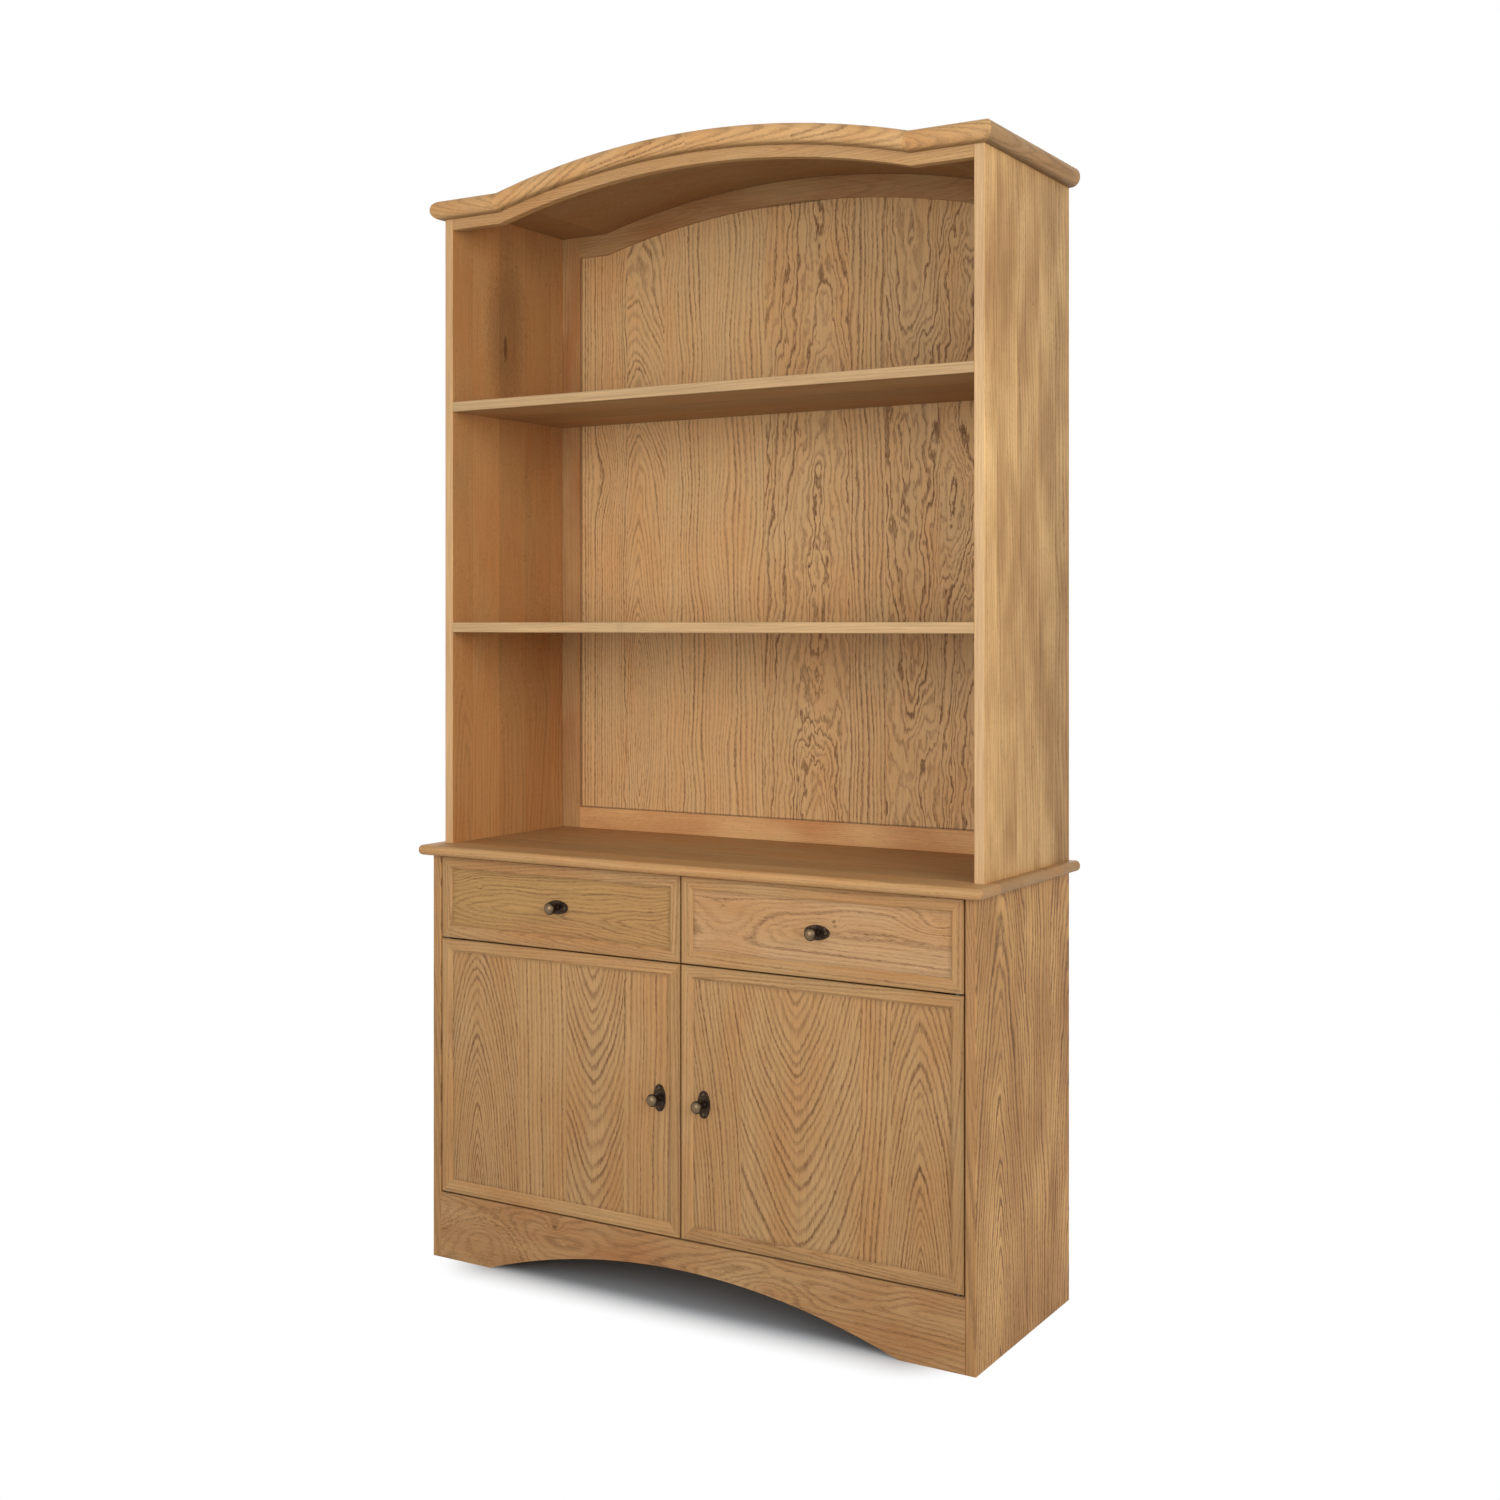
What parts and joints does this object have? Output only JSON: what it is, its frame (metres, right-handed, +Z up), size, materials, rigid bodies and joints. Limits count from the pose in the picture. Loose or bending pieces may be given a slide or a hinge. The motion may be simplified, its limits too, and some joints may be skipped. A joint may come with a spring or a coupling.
{
  "type": "sideboard with hutch",
  "caption": "Oak sideboard with inset drawers over inset doors, and an open shelved hutch that ends in an arched bullnose cornice.",
  "frame": {"origin": "on the floor, under the middle of the bounding box", "axes": "+Z up from the floor to the cornice, the doors and drawers face -Y, +X is the right-hand side seen from the front"},
  "size_m": [1.234, 0.454, 2.19],
  "materials": {
    "oak": "satin lacquered oak",
    "drawer_wood": "sanded pale wood",
    "back_plywood": "sealed plywood",
    "bronze": "antique bronze",
    "steel": "zinc plated",
    "catch_plastic": "moulded brown"
  },
  "bodies": {
    "root": {"base_side_left": "oak", "base_side_right": "oak", "arched_apron": "oak", "base_floor": "oak", "rear_rail": "drawer_wood", "base_back_panel": "back_plywood", "drawer_rails": "drawer_wood", "drawer_divider": "drawer_wood", "drawer_runners": "drawer_wood", "worktop_stretchers": "drawer_wood", "worktop": "oak", "inner_shelf": "oak", "shelf_studs": "steel", "door_catches": "catch_plastic", "upper_pivots": "steel", "lower_pivots": "steel", "hutch_tie_plates": "steel", "hutch_side_left": "oak", "hutch_side_right": "oak", "hutch_shelf_lower": "oak", "hutch_shelf_upper": "oak", "hutch_front_rail": "oak", "hutch_roof": "oak", "hutch_back_stiles": "oak", "hutch_back_top_rail": "oak", "hutch_back_bottom_rail": "oak", "hutch_back_panel": "oak", "cornice_arch": "oak", "cornice_shoulders": "oak", "cornice_returns": "oak"},
    "door_left": {"door_left_stiles": "oak", "door_left_rails": "oak", "door_left_panel": "oak", "door_left_knob_plate": "bronze", "door_left_knob": "bronze", "door_left_pivot_leaves": "steel", "door_left_strike": "steel"},
    "door_right": {"door_right_stiles": "oak", "door_right_rails": "oak", "door_right_panel": "oak", "door_right_knob_plate": "bronze", "door_right_knob": "bronze", "door_right_pivot_leaves": "steel", "door_right_strike": "steel"},
    "drawer_left": {"drawer_left_front_frame": "oak", "drawer_left_front_panel": "oak", "drawer_left_box_sides": "drawer_wood", "drawer_left_box_ends": "drawer_wood", "drawer_left_box_bottom": "drawer_wood", "drawer_left_knob_plate": "bronze", "drawer_left_knob": "bronze"},
    "drawer_right": {"drawer_right_front_frame": "oak", "drawer_right_front_panel": "oak", "drawer_right_box_sides": "drawer_wood", "drawer_right_box_ends": "drawer_wood", "drawer_right_box_bottom": "drawer_wood", "drawer_right_knob_plate": "bronze", "drawer_right_knob": "bronze"}
  },
  "joints": [
    {"name": "door_left_swing", "type": "hinge", "parent": "root", "child": "door_left", "pos_m": [-0.56, -0.191, 0.134], "axis": [0, 0, -1], "range_deg": [0, 100]},
    {"name": "door_right_swing", "type": "hinge", "parent": "root", "child": "door_right", "pos_m": [0.56, -0.191, 0.134], "axis": [0, 0, 1], "range_deg": [0, 100]},
    {"name": "drawer_left_slide", "type": "slide", "parent": "root", "child": "drawer_left", "axis": [0, -1, 0], "range_m": [0, 0.28]},
    {"name": "drawer_right_slide", "type": "slide", "parent": "root", "child": "drawer_right", "axis": [0, -1, 0], "range_m": [0, 0.28]}
  ]
}
